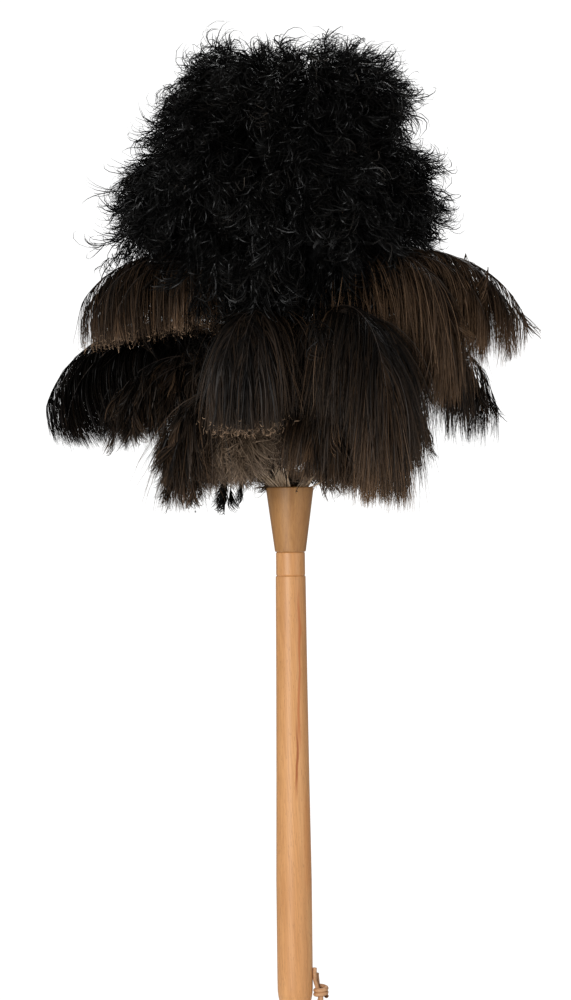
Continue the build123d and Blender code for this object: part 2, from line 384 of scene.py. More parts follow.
def ribbon_arrays(points, half_width, facing, tone):
    """Flat ribbons along strands (n, rows, 3): wide at the root, fine at the tip."""
    n, rows, _ = points.shape
    tangent = unit(np.gradient(points, axis=1))
    side = unit(np.cross(tangent, facing[:, None, :]))
    share = np.linspace(0, 1, rows)
    taper = half_width[:, None] * (1.0 - 0.80 * share**2.2)[None, :]
    left = points - side * taper[..., None]
    right = points + side * taper[..., None]
    verts = np.stack([left, right], axis=2).reshape(-1, 3)
    first = (np.arange(n)[:, None] * rows + np.arange(rows - 1)[None, :]) * 2
    quads = np.stack([first, first + 1, first + 3, first + 2], axis=-1).reshape(-1, 4)
    column = np.floor(tone * (TONE_STEPS - 1e-6)) / TONE_STEPS
    u = np.stack([column, column + 1 / TONE_STEPS, column + 1 / TONE_STEPS, column], axis=-1)
    v = np.stack([share[:-1], share[:-1], share[1:], share[1:]], axis=-1)
    uvs = np.empty((n, rows - 1, 4, 2))
    uvs[..., 0] = u[:, None, :]
    uvs[..., 1] = v[None, :, :]
    return verts, quads, uvs.reshape(-1, 2)


def tube_arrays(path, radii, sides):
    """A tube round one path, as vertices, quads and UVs."""
    path = np.asarray(path, float)
    tangent = unit(np.gradient(path, axis=0))
    guide = np.array((0.31, 0.22, 0.93))
    first = unit(np.cross(tangent, guide))
    second = np.cross(tangent, first)
    turn = np.linspace(0, 2 * np.pi, sides, endpoint=False)
    circle = first[:, None] * np.cos(turn)[None, :, None]
    circle = circle + second[:, None] * np.sin(turn)[None, :, None]
    verts = (path[:, None] + circle * np.asarray(radii)[:, None, None]).reshape(-1, 3)
    row = np.arange(len(path) - 1)[:, None] * sides
    column = np.arange(sides)[None, :]
    after = (column + 1) % sides
    corners = [row + column, row + after, row + after + sides, row + column + sides]
    quads = np.stack(corners, -1).reshape(-1, 4)
    v = np.linspace(0, 1, len(path))
    low, high = np.repeat(v[:-1], sides), np.repeat(v[1:], sides)
    left = np.tile(np.arange(sides) / sides, len(path) - 1)
    right = np.tile((np.arange(sides) + 1) / sides, len(path) - 1)
    spots = [(left, low), (right, low), (right, high), (left, high)]
    uvs = np.stack([np.stack(spot, -1) for spot in spots], 1)
    return verts, quads, uvs.reshape(-1, 2)


def join_arrays(parts):
    """Several (verts, quads, uvs, material) groups as one."""
    verts, quads, uvs, materials, start = [], [], [], [], 0
    for part_verts, part_quads, part_uvs, material in parts:
        verts.append(part_verts)
        quads.append(part_quads + start)
        uvs.append(part_uvs)
        materials.append(np.full(len(part_quads), material))
        start += len(part_verts)
    return tuple(np.concatenate(rows) for rows in (verts, quads, uvs, materials))


def add_piece(name, mesh, materials, body, nodes):
    """A piece from a mesh: its materials, its body and the CAD nodes that it stands for."""
    piece = bpy.data.objects.new(name, mesh)
    bpy.context.scene.collection.objects.link(piece)
    for material in materials:
        mesh.materials.append(material)
    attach(piece, body)
    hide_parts(*nodes)
    return piece


# ---------- thong

LACE_D = 0.004
LACE_ROUTE = [
    (0.0230, 0.0000, -0.0640),
    (0.0225, 0.0000, -0.0735),
    (0.0175, 0.0000, -0.0780),
    (-0.0185, 0.0000, -0.0780),
    (-0.0240, 0.0004, -0.0840),
    (-0.0246, 0.0016, -0.0980),
    (-0.0238, 0.0026, -0.1220),
    (-0.0210, 0.0038, -0.1500),
    (-0.0136, 0.0042, -0.1760),
    (0.0010, 0.0034, -0.1870),
    (0.0152, 0.0012, -0.1750),
    (0.0216, -0.0016, -0.1480),
    (0.0234, -0.0036, -0.1180),
    (0.0236, -0.0048, -0.0900),
    (0.0232, -0.0044, -0.0660),
]


def smooth_path(route, resolution=12):
    """Points along the NURBS line that has the route's points as its control points."""
    curve = bpy.data.curves.new("route", "CURVE")
    curve.dimensions = "3D"
    curve.resolution_u = resolution
    spline = curve.splines.new("NURBS")
    spline.points.add(len(route) - 1)
    for point, place in zip(spline.points, route):
        point.co = (*place, 1)
    spline.order_u = 3
    spline.use_endpoint_u = True
    holder = bpy.data.objects.new("route", curve)
    bpy.context.scene.collection.objects.link(holder)
    bpy.context.view_layer.update()
    line = bpy.data.meshes.new_from_object(holder)
    path = np.array([tuple(vertex.co) for vertex in line.vertices])
    bpy.data.objects.remove(holder)
    bpy.data.curves.remove(curve)
    bpy.data.meshes.remove(line)
    return path


KNOT_TURNS = 2.3
KNOT_RX, KNOT_RY, KNOT_RISE = 0.0050, 0.0041, 0.0084


def wound_knot():
    """The lace wound round itself into a knot."""
    low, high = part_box("thong_knot")
    centre = (low + high) / 2
    turns = np.linspace(0, KNOT_TURNS * 2 * np.pi, 60)
    wrap = np.stack(
        [
            centre.x - 0.0004 + KNOT_RX * np.cos(turns),
            centre.y + KNOT_RY * np.sin(turns),
            centre.z - KNOT_RISE / 2 + KNOT_RISE * turns / turns[-1] + 0.0006 * np.sin(turns),
        ],
        -1,
    )
    return tube_arrays(wrap, np.full(len(wrap), LACE_D / 2), 10)


def cut_tails():
    """The knot's two tails, bent, one before the other."""
    low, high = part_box("thong_tails")
    ends = ((-0.0012, low.y + 0.0021, high.z), (0.0009, high.y - 0.0021, high.z - 0.0055))
    tails = []
    for shift, y, top in ends:
        route = [(0.0208, y * 0.8, -0.0630), (0.0194 + shift, y, -0.0560), (0.0186 + shift, y, -0.0500)]
        tail = smooth_path([*route, (0.0190 + shift, y, top)])
        thin = np.linspace(LACE_D / 2, LACE_D / 2 * 0.95, len(tail))
        tails.append((*tube_arrays(tail, thin, 8), 0))
    return join_arrays(tails)[:3]


def thong_piece(name, arrays, leather, node):
    """One leather piece of the thong."""
    return add_piece(name, grid_mesh(name, *arrays), [leather], THONG, [node])


def make_thong():
    """The lace's loop, the knot that joins its ends, and the knot's two tails."""
    tan = leather_material("lace_tan", (0.50, 0.27, 0.13), (0.33, 0.16, 0.07))
    path = smooth_path(LACE_ROUTE)
    tube = tube_arrays(path, np.full(len(path), LACE_D / 2), 10)
    lace = thong_piece("lace_loop", tube, tan, "thong_loop")
    knot = thong_piece("lace_knot", wound_knot(), tan, "thong_knot")
    tails = thong_piece("lace_tails", cut_tails(), tan, "thong_tails")


# ---------- feathers: arches


def arch_of(node, start_r, rising=False):
    """A CAD leaf's angle about Z, and its arch's start, crest and tip as (radius, height)."""
    co = np.array([vertex.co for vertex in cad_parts[node].data.vertices])
    angle = math.atan2(co[:, 1].sum(), co[:, 0].sum())
    r, z = np.hypot(co[:, 0], co[:, 1]), co[:, 2]
    near = np.abs(r - start_r) < 2 * MM
    start = (start_r, z[near].mean())
    top = z.argmax()
    if rising:
        middle = (0.35 * start_r + 0.33 * r.max(), 0.45 * start[1] + 0.55 * z.max())
        return angle, start, middle, (r.max(), z.max())
    outer = np.flatnonzero(r > 0.75 * r.max())
    tip = outer[z[outer].argmin()]
    return angle, start, (r[top], z[top]), (r[tip], z[tip])


def arc_through(start, crest, tip, count):
    """Points on the circle through three points, from the first by way of the second to the third."""
    (ax, ay), (bx, by), (cx, cy) = start, crest, tip
    d = 2 * (ax * (by - cy) + bx * (cy - ay) + cx * (ay - by))
    a2, b2, c2 = ax * ax + ay * ay, bx * bx + by * by, cx * cx + cy * cy
    ux = (a2 * (by - cy) + b2 * (cy - ay) + c2 * (ay - by)) / d
    uy = (a2 * (cx - bx) + b2 * (ax - cx) + c2 * (bx - ax)) / d
    radius = math.hypot(ax - ux, ay - uy)
    begin = math.atan2(ay - uy, ax - ux) % (2 * math.pi)
    finish = math.atan2(cy - uy, cx - ux)
    while finish > begin:
        finish -= 2 * math.pi
    turn = np.linspace(begin, finish, count)
    return np.stack([ux + radius * np.cos(turn), uy + radius * np.sin(turn)], -1)


# ---------- feathers: strands


def place_arch(profile, angle, swing):
    """An (r, z) profile stood up at an angle about Z, its end swung sideways by a distance."""
    share = np.linspace(0, 1, len(profile)) ** 1.5
    out = np.array((math.cos(angle), math.sin(angle), 0.0))
    side = np.array((-math.sin(angle), math.cos(angle), 0.0))
    return profile[:, :1] * out + profile[:, 1:] * UP + (share * swing)[:, None] * side


def sample_path(path, share):
    """Places and directions at shares (0 to 1) of a path."""
    at = np.clip(share, 0, 1) * (len(path) - 1)
    low = np.minimum(at.astype(int), len(path) - 2)
    part = (at - low)[:, None]
    tangent = unit(np.gradient(path, axis=0))
    place = path[low] * (1 - part) + path[low + 1] * part
    return place, unit(tangent[low] * (1 - part) + tangent[low + 1] * part)


def grow(roots, heading, length, rows, drop, spin):
    """Strands grown row by row: each turns downward by drop and curls about its spin vector."""
    points = np.empty((len(roots), rows, 3))
    points[:, 0] = roots
    heading = unit(heading)
    step = (length / (rows - 1))[:, None]
    for row in range(1, rows):
        share = row / (rows - 1)
        heading = unit(heading + drop[:, None] * DOWN + np.cross(spin, heading) * (0.4 + share))
        points[:, row] = points[:, row - 1] + heading * step
    return points


def gather(points, lock, amount):
    """Draws each lock's strands together toward their tips."""
    locks = lock.max() + 1
    total = np.zeros((locks, *points.shape[1:]))
    np.add.at(total, lock, points)
    mean = total / np.maximum(np.bincount(lock, minlength=locks), 1)[:, None, None]
    share = np.linspace(0, 1, points.shape[1]) ** 1.4
    return points + (mean[lock] - points) * (amount * share)[None, :, None]


def fray(points, size):
    """Small bends that grow toward the tips."""
    rows = points.shape[1]
    share = np.linspace(0, 1, rows) ** 2
    bends = np.cumsum(RNG.normal(size=points.shape), axis=1) / math.sqrt(rows)
    return points + bends * (size * share)[None, :, None]


def trimmed(points, lowest):
    """Strands drawn up so that none hangs below a height, or in front of the cone."""
    root, tip = points[:, 0], points[:, -1]
    before_cone = (np.abs(tip[:, 0]) < CONE_GAP) & (tip[:, 1] < 0)
    limit = np.where(before_cone, np.maximum(lowest, CONE_TOP + 0.003), lowest)
    limit = limit + 0.003 * np.abs(RNG.normal(size=len(points)))
    share = np.clip((root[:, 2] - limit) / np.maximum(root[:, 2] - tip[:, 2], 1e-6), 0.12, 1.0)
    return root[:, None] + (points - root[:, None]) * share[:, None, None]


def facing_of(points, scatter):
    """Outward directions, scattered, that turn each ribbon's flat side."""
    outward = unit(points[:, points.shape[1] // 2] * LEVEL)
    return unit(outward + scatter * RNG.normal(size=outward.shape))


# ---------- feathers: the black mass

RING_SECTOR = {"waist_plume": 30, "shoulder_plume": 30, "crown_side_plume": 36, "crown": 45}
VANE_START, CROWN_START = 0.028, 0.014
BARB_WIDTH, TUFT_WIDTH, FRINGE_WIDTH = 0.00034, 0.00040, 0.00030
SKIRT_SECTOR = 31
LUMPS = ((0.035, 2, 0.5, 0), (0.03, 5, 0, 40), (0.02, 9, 0, -60))


def ring_of(node):
    """The ring that a black plume belongs to."""
    return next((ring for ring in RING_SECTOR if node.startswith(ring) and "_plume" in node), None)


def ring_arch(node, ring):
    """The arch of a black plume, which rises in the crown and falls in the other rings."""
    return arch_of(node, CROWN_START, True) if ring == "crown" else arch_of(node, VANE_START)


def ring_tip(ring):
    """A ring's mean tip as (radius, height)."""
    names = [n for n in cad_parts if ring_of(n) == ring]
    return np.mean([ring_arch(n, ring)[3] for n in names], axis=0)


class Mass:
    """The black head's outer surface, from the top's middle out and down to the skirt."""

    def __init__(self):
        waist, shoulder, side, crown = (ring_tip(ring) for ring in RING_SECTOR)
        self.anchors = np.array(
            [
                (0.004, crown[1] - 0.006),
                (0.66 * crown[0], crown[1] - 0.012),
                (0.90 * crown[0], crown[1] - 0.030),
                (0.76 * side[0], side[1] - 0.004),
                (0.88 * shoulder[0], shoulder[1] + 0.018),
                (0.91 * waist[0], waist[1]),
                (0.82 * waist[0], waist[1] - 0.040),
                (0.60 * waist[0], waist[1] - 0.066),
            ]
        )
        steps = np.linalg.norm(np.diff(self.anchors, axis=0), axis=1)
        self.at = np.concatenate([[0], np.cumsum(steps)])
        self.bands = {
            "crown": (0.02, self.at[2] + 0.012),
            "crown_side_plume": (self.at[2] - 0.006, self.at[3] + 0.022),
            "shoulder_plume": (self.at[3], self.at[4] + 0.030),
            "waist_plume": (self.at[4] + 0.010, self.at[7]),
        }
        uppers = [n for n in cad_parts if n.endswith("upper_plume")]
        self.upper = np.array([arch_of(n, VANE_START)[0] for n in uppers])
        self.upper_top = max(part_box(n)[1].z for n in uppers)

    def clear_of_skirt(self, centres, turn):
        """Which tufts leave the upper skirt plumes in view."""
        apart = (turn[:, None] - self.upper[None, :] + math.pi) % (2 * math.pi) - math.pi
        beside = np.abs(apart).min(axis=1) > math.radians(SKIRT_SECTOR)
        return beside | (centres[:, 2] > self.upper_top + 0.012)

    def profile(self, s):
        """The surface's (radius, height) at lengths s from the top."""
        return np.stack([np.interp(s, self.at, self.anchors[:, column]) for column in (0, 1)], -1)

    def place(self, s, turn, depth):
        """Points under the surface at a length from the top and an angle, with its two directions."""
        r, z = self.profile(s).T
        slope = unit(self.profile(s + 0.02) - self.profile(s - 0.02))
        out = np.stack([np.cos(turn), np.sin(turn), np.zeros_like(turn)], -1)
        downhill = slope[:, :1] * out + slope[:, 1:] * UP
        normal = -slope[:, 1:] * out + slope[:, :1] * UP
        lumps = HEAD_SHARE + sum(a * np.sin(n * turn + b + c * s) for a, n, b, c in LUMPS)
        lean = np.clip((LEAN_TOP - z) / LEAN_OVER, 0, 1)[:, None] * HEAD_LEAN
        surface = (r * lumps)[:, None] * out + z[:, None] * UP + lean
        return surface - depth[:, None] * normal, normal, downhill


def tuft_arrays(centres, headings, reach, strands, length, curl, tone, **rest):
    """Curled barbs round each of many small shafts."""
    width, splay = rest.get("width", TUFT_WIDTH), rest.get("splay", 0.75)
    lowest, palest = rest.get("lowest", -1.0), rest.get("palest", 0.999)
    count = len(centres)
    own = np.repeat(np.arange(count), strands)
    n = len(own)
    share = RNG.uniform(0, 1, n)
    long = reach * RNG.uniform(0.7, 1.3, count)[own]
    sag = DOWN * (0.2 * long * share**2)[:, None]
    roots = centres[own] + headings[own] * (share * long)[:, None] + sag
    along = unit(headings[own] + 0.4 * share[:, None] * DOWN)
    across = unit(np.cross(along, RNG.normal(size=(n, 3))))
    angle = splay * RNG.uniform(0.2, 1.35, n)
    heading = along * np.cos(angle)[:, None] + across * np.sin(angle)[:, None]
    spin = curl * (0.9 * unit(RNG.normal(size=(count, 3)))[own] + 0.40 * RNG.normal(size=(n, 3)))
    stray = np.where(RNG.uniform(size=n) < 0.05, 1.45, 1.0)
    lengths = length * RNG.uniform(0.5, 1.2, n) * stray
    points = grow(roots, heading, lengths, 6, 0.08 * RNG.uniform(0.3, 1.6, n), spin)
    points = trimmed(gather(points, own * 4 + RNG.integers(0, 4, n), 0.72), lowest)
    # Tones differ at random from strand to strand; on black barbs the few strands that reach the top of
    # the ramp are painted glints.
    tones = tone + 0.14 * RNG.normal(size=count)[own] + 0.17 * RNG.normal(size=n)
    tones = np.clip(tones, 0, palest)
    widths = width * RNG.uniform(0.6, 1.25, n)
    return (*ribbon_arrays(hold(points), widths, facing_of(points, 0.8), tones), 0)


def shade_vanes(mass, band, angle, half, count):
    """Near-black vanes deep inside the mass, which the curled barbs grow out of: painted shade that
    stands for the mass's dark interior and keeps light from showing through.
    """
    s = RNG.uniform(max(band[0] - 0.03, 0.035), band[1] - 0.05, count)
    turn = angle + RNG.uniform(-half, half, count) * 1.1
    depth = RNG.uniform(0.026, 0.060, count)
    steps = np.linspace(0, 0.075, 6)
    points = np.stack([mass.place(s + step, turn, depth)[0] for step in steps], axis=1)
    points += 0.003 * RNG.normal(size=points.shape)
    facing = unit(points[:, 3] * LEVEL + 0.06 * UP + 0.02 * RNG.normal(size=(count, 3)))
    widths = RNG.uniform(0.003, 0.006, count)
    # The darkest black tones: these vanes are painted shade.
    return (*ribbon_arrays(points, widths, facing, RNG.uniform(0, 0.2, count)), 0)


def hold(points):
    """Strands kept within a small margin of the CAD box."""
    return np.clip(points, np.array(CAD_BOX[0]) - HEAD_MARGIN, np.array(CAD_BOX[1]) + HEAD_MARGIN)


TUFTS = {"crown": 116, "crown_side_plume": 88, "shoulder_plume": 84, "waist_plume": 98}
SHADE_VANES = 210
CREST_COUNT = 8


def mass_tufts(mass, ring, angle):
    """Where a plume's curled tufts grow from the mass, and their headings, swept in broad swirls."""
    (low, high), half = mass.bands[ring], math.radians(RING_SECTOR[ring])
    count = TUFTS[ring]
    s = RNG.uniform(0, 1, count) ** (0.62 if ring == "crown" else 1.0) * (high - low) + low
    turn = angle + RNG.uniform(-half, half, count)
    depth = RNG.uniform(*((0.006, 0.022) if ring == "crown" else (0.010, 0.030)), count)
    centres, normal, downhill = mass.place(s, turn, depth)
    swirl = 0.45 * np.sin(3 * turn + 1.3 + 30 * s) + 0.3 * np.sin(7 * turn - 45 * s)
    sideways = np.cross(normal, downhill) * swirl[:, None]
    scatter = 0.30 * RNG.normal(size=(count, 3))
    headings = unit(0.50 * normal + 0.75 * downhill + sideways + scatter)
    keep = mass.clear_of_skirt(centres, turn)
    return centres[keep], headings[keep]


def stray_tuft(place, tip):
    """A few long curls that stand out of the head's side."""
    roots = place * tip[0] * 0.80 + UP * (tip[1] + 0.004) + 0.012 * RNG.normal(size=(3, 3))
    leans = unit(place + 0.35 * UP + 0.15 * RNG.normal(size=(3, 3)))
    return tuft_arrays(roots, leans, 0.012, 7, 0.046, 0.26, 0.5, splay=0.4)


def crest_tufts(place, tip, rise):
    """Denser tufts that stand out of the crown."""
    scatter = 0.014 * RNG.normal(size=(CREST_COUNT, 3))
    roots = place * tip[0] * 0.44 + UP * (tip[1] - 0.028) + scatter
    leans = unit(place + rise * UP + 0.25 * RNG.normal(size=(CREST_COUNT, 3)))
    return tuft_arrays(roots, leans, 0.030, 40, 0.026, 0.30, 0.4, splay=0.5)


def make_black_plume(mass, node, black, dark):
    """One black plume: near-black vanes of painted shade inside the mass, and a spread of curled tufts
    over its part of the mass.
    """
    ring = ring_of(node)
    angle, start, crest, tip = ring_arch(node, ring)
    centres, headings = mass_tufts(mass, ring, angle)
    half = math.radians(RING_SECTOR[ring])
    parts = [
        shade_vanes(mass, mass.bands[ring], angle, half, SHADE_VANES),
        tuft_arrays(centres, headings, 0.034, 25, 0.039, 0.38, 0.38, width=0.00046),
    ]
    path = place_arch(arc_through(start, crest, tip, 24)[:19], angle, 0.0)
    parts.append((*shaft(path, 0.0009), 1))
    place = np.array((math.cos(angle), math.sin(angle), 0.0))
    if ring == "shoulder_plume" and place[0] < -0.9:
        parts.append(stray_tuft(place, tip))
    if node in CREST_TUFTS:
        parts.append(crest_tufts(place, tip, CREST_TUFTS[node]))
    feather_piece(node, parts, [black, dark])


def feather_piece(node, parts, materials, name=None):
    """One feather's joined arrays as a piece that replaces its CAD leaf."""
    name = (name or node) + "_feathers"
    add_piece(name, grid_mesh(name, *join_arrays(parts)), materials, DUSTER, [node])


# ---------- feathers: the skirt


class Hang:
    """How one skirt plume's barbs hang: distances in millimetres, tones from black (0) to tan (1)."""

    def __init__(self, tone, spread, hem=0, ragged=5, shafts=6, count=1400, **rest):
        self.tone, self.spread, self.hem, self.ragged = tone, spread * MM, hem * MM, ragged * MM
        self.shafts, self.count = shafts, count
        self.reach = rest.get("reach", 0.90)
        self.frizz = rest.get("frizz", 1.5) * MM
        self.curl = rest.get("curl", 0.05)
        self.inward = rest.get("inward", 0.03)
        self.splay = rest.get("splay", 0.95)
        self.fall = rest.get("fall", 1.0)
        self.fringe = rest.get("fringe", 0.0)
        self.warm = rest.get("warm", 0.0)
        self.locks = rest.get("locks", 0)
        self.lobes = rest.get("lobes", ())


def hanging_barbs(path, hang, hem, tone):
    """Barbs on both sides of an arched shaft, in locks that hang to the hem."""
    n = hang.count // hang.shafts
    share = np.sort(RNG.uniform(0.14, 1.0, n) ** 0.9)
    roots, along = sample_path(path, share)
    sign = RNG.choice((-1.0, 1.0), n)
    across = unit(np.cross(along, UP + 1e-6))
    over = np.cross(across, along)
    over = np.where((over @ UP < 0)[:, None], -over, over)
    lock = (np.arange(n) // 10) * 2 + (sign > 0)
    locks = lock.max() + 1
    lock_noise, own_noise = RNG.normal(size=(locks, 3))[lock], RNG.normal(size=(n, 3))
    angle = hang.splay * (1.1 - 0.6 * share) * RNG.uniform(0.35, 1.2, n)
    heading = (
        along * np.cos(angle)[:, None]
        + across * (sign * np.sin(angle))[:, None]
        + over * (0.28 * RNG.uniform(0.0, 1.0, n))[:, None]
        + 0.10 * lock_noise
        + 0.05 * own_noise
    )
    ragged = hang.ragged * (lock_noise[:, 0] + 0.5 * own_noise[:, 0])
    fall = roots[:, 2] - hem - ragged
    length = np.clip(fall * 1.06, 0.012, 0.125) * (1.03 - 0.25 * RNG.uniform(0, 1, n) ** 2.5)
    out = unit(path[-1] * LEVEL)
    curls = 0.75 * RNG.normal(size=(locks, 3))[lock] + 0.45 * RNG.normal(size=(n, 3))
    spin = hang.inward * np.cross(UP, out) + hang.curl * curls
    drop = hang.fall * (0.16 + 0.026 / np.maximum(length, 0.03)) * RNG.uniform(0.8, 1.3, n)
    points = grow(roots, heading, length, 9, drop, spin)
    points = trimmed(fray(gather(points, lock, 0.5), hang.frizz), hem - 1.6 * hang.ragged)
    warmth = hang.warm * np.clip((share - 0.55) / 0.2, 0, 1)
    shade = 0.15 * lock_noise[:, 1] + 0.10 * own_noise[:, 1]
    tones = np.clip(tone + warmth + shade, 0, 0.94)
    widths = BARB_WIDTH * RNG.uniform(0.6, 1.3, n)
    return points, ribbon_arrays(hold(points), widths, facing_of(points, 0.5), tones)


def ragged_locks(path, hang, tone, hem):
    """Pointed locks that hang from the outer part of an arch."""
    centres, along = sample_path(path, RNG.uniform(0.55, 0.92, hang.locks))
    centres = centres + 0.006 * RNG.normal(size=centres.shape)
    headings = unit(0.45 * along + DOWN + 0.45 * RNG.normal(size=centres.shape))
    limits = {"splay": 0.42, "lowest": hem - 2 * hang.ragged, "palest": 0.9}
    return tuft_arrays(centres, headings, 0.022, 34, 0.030, 0.20, tone, **limits)


def fringe_arrays(tips, share):
    """Short pale curls at some of the barbs' tips."""
    roots = tips[RNG.uniform(size=len(tips)) < share]
    n = len(roots)
    heading = DOWN + 0.7 * RNG.normal(size=(n, 3))
    length = RNG.uniform(0.003, 0.006, n)
    points = grow(roots, heading, length, 4, np.full(n, 0.1), 0.6 * RNG.normal(size=(n, 3)))
    widths = FRINGE_WIDTH * RNG.uniform(0.7, 1.2, n)
    facing = facing_of(points, 0.7)
    return ribbon_arrays(hold(points), widths, facing, RNG.uniform(0.95, 0.999, n))


UNDER_SHADE_VANES = 16
LOBE_SHAFTS = 4


def spread_over(count):
    """Evenly spaced places across a plume, from -1 to 1."""
    return [(index + 0.5) / count * 2 - 1 for index in range(count)]


def shade_underlayer(start, crest, tip, angle, hang):
    """Broad near-black vanes just under the plume's barbs: painted shade that stands for the dark depth
    between the locks.
    """
    parts = []
    for place in spread_over(UNDER_SHADE_VANES):
        size = 0.90 - 0.08 * place * place
        inner_crest, inner_tip = (crest[0] * size, crest[1] - 0.010), (tip[0] * size, tip[1] + 0.006)
        profile = arc_through(start, inner_crest, inner_tip, 24)[4:20]
        path = place_arch(profile, angle, 1.05 * place * hang.spread)
        points = path[None, ::2] + 0.002 * RNG.normal(size=(1, len(path[::2]), 3))
        # The darkest brown tones: these vanes are painted shade.
        tone = RNG.uniform(0.0, 0.12, 1)
        parts.append((*ribbon_arrays(points, np.array([0.006]), unit(points[:, 3]), tone), 0))
    return parts


def root_fluff(path, tufts, turn_range):
    """Dark tufts round the inner end of an arch, which close the head round its dowel."""
    centres, along = sample_path(path, RNG.uniform(0.02, 0.42, tufts))
    turn = RNG.uniform(-turn_range, turn_range, tufts)
    spin = np.zeros((tufts, 3, 3))
    spin[:, 0, 0] = spin[:, 1, 1] = np.cos(turn)
    spin[:, 1, 0], spin[:, 0, 1], spin[:, 2, 2] = np.sin(turn), -np.sin(turn), 1
    centres = np.einsum("nij,nj->ni", spin, centres) + 0.008 * RNG.normal(size=centres.shape)
    headings = np.einsum("nij,nj->ni", spin, along) + 0.5 * DOWN
    headings = unit(headings + 0.5 * RNG.normal(size=centres.shape))
    limits = {"width": 0.00045, "splay": 1.2, "palest": 0.9}
    return tuft_arrays(centres, headings, 0.020, 46, 0.040, 0.22, 0.06, **limits)


def skirt_shaft(start, crest, tip, angle, hang, place, tone, hem):
    """One shaft of a skirt plume, with its barbs, locks and fringe."""
    swing = place * hang.spread + RNG.normal() * 0.10 * hang.spread
    size = 0.97 - 0.10 * place * place + RNG.normal() * 0.03
    lift = (RNG.normal() * 3 - 8 * place * place) * MM
    own_crest, own_tip = (crest[0] * size, crest[1] + lift), (tip[0] * size, tip[1] + lift)
    profile = arc_through(start, own_crest, own_tip, 40)
    profile = profile[: max(12, int(len(profile) * hang.reach * RNG.uniform(0.94, 1.03)))]
    path = place_arch(profile, angle, swing)
    hem = hem + 0.5 * RNG.normal() * hang.ragged
    tone = tone + RNG.normal() * 0.06
    points, barbs = hanging_barbs(path, hang, hem, tone)
    parts = [(*shaft(path, 0.0007), 1), (*barbs, 0)]
    if hang.locks:
        parts.append(ragged_locks(path, hang, tone, hem))
    if hang.fringe:
        low = points[:, -1][points[:, -1, 2] < hem + 0.012]
        parts.append((*fringe_arrays(low, hang.fringe), 0))
    return parts


def make_skirt_plume(node, brown, dark, hang):
    """One skirt plume: shafts fanned about the CAD leaf's arch, and smaller lobes beside them."""
    angle, *arch = arch_of(node, VANE_START)
    start, crest, tip = arch
    parts = shade_underlayer(*arch, angle, hang)
    middle = place_arch(arc_through(*arch, 40), angle, 0.0)
    parts.append(root_fluff(middle, *((18, 0.8) if "under" in node else (9, 0.45))))
    for place in spread_over(hang.shafts):
        parts += skirt_shaft(*arch, angle, hang, place, hang.tone, tip[1] - hang.hem)
    for turn, scale, drop, tone in hang.lobes:
        side_crest = (crest[0] * (0.25 + 0.75 * scale), crest[1] - 4 * MM)
        side_tip = (tip[0] * scale, tip[1] - drop * MM)
        side = (start, side_crest, side_tip, angle + math.radians(turn))
        for place in spread_over(LOBE_SHAFTS):
            parts += skirt_shaft(*side, hang, place * 0.5, tone, side_tip[1])
    feather_piece(node, parts, [brown, dark])


def shaft(path, root_radius):
    """A feather's shaft, tapering to its tip."""
    radii = root_radius * (1 - 0.8 * np.linspace(0, 1, len(path)))
    return tube_arrays(path, radii, 5)


# ---------- feathers: which plume looks how

# Each ramp: place along it, colour. The tints run from a barb's root to its tip, and the
# tones from the darkest barb to the palest.
BLACK = [
    (0.0, (0.0022, 0.0021, 0.0020)),
    (0.75, (0.0028, 0.0026, 0.0024)),
    (1.0, (0.010, 0.0085, 0.0070)),
]
BROWN = [
    (0.0, (0.012, 0.0080, 0.0052)),
    (0.40, (0.034, 0.0218, 0.0135)),
    (0.85, (0.060, 0.0385, 0.0235)),
    (1.0, (0.095, 0.063, 0.040)),
]
DOWN_TINT = [(0.0, (0.140, 0.094, 0.058)), (1.0, (0.245, 0.172, 0.116))]
# Black barbs' tones: the stops at 0.85 and 1.0 (3 and 12 times) are painted glints, a few strands made
# bright to stand for highlights.
BLACK_TONES_AND_GLINTS = [
    (0.0, (0.35, 0.35, 0.36)),
    (0.60, (0.9, 0.9, 0.9)),
    (0.85, (3.0, 3.0, 3.0)),
    (1.0, (12.0, 11.5, 11.0)),
]
BROWN_TONES = [
    (0.0, (0.09, 0.11, 0.15)),
    (0.20, (0.22, 0.25, 0.30)),
    (0.50, (0.75, 0.75, 0.78)),
    (0.90, (2.2, 2.0, 1.8)),
    (0.94, (2.3, 2.1, 1.9)),
    (1.0, (9.0, 9.4, 9.8)),
]
DOWN_TONES = [(0.0, (0.25, 0.25, 0.25)), (0.5, (0.8, 0.8, 0.8)), (1.0, (1.6, 1.6, 1.6))]

HEAD_MARGIN = 0.012
HEAD_LEAN, LEAN_TOP, LEAN_OVER = np.array((-0.008, 0.0, 0.0)), 0.74, 0.10
HEAD_SHARE = 0.97
CONE_GAP, CONE_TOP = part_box("socket_cone")[1].x + 0.005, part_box("socket_cone")[1].z
CREST_TUFTS = {
    "crown_left_plume": 0.25,
    "crown_right_plume": 0.45,
    "crown_front_plume": 0.2,
    "crown_back_plume": 0.3,
}

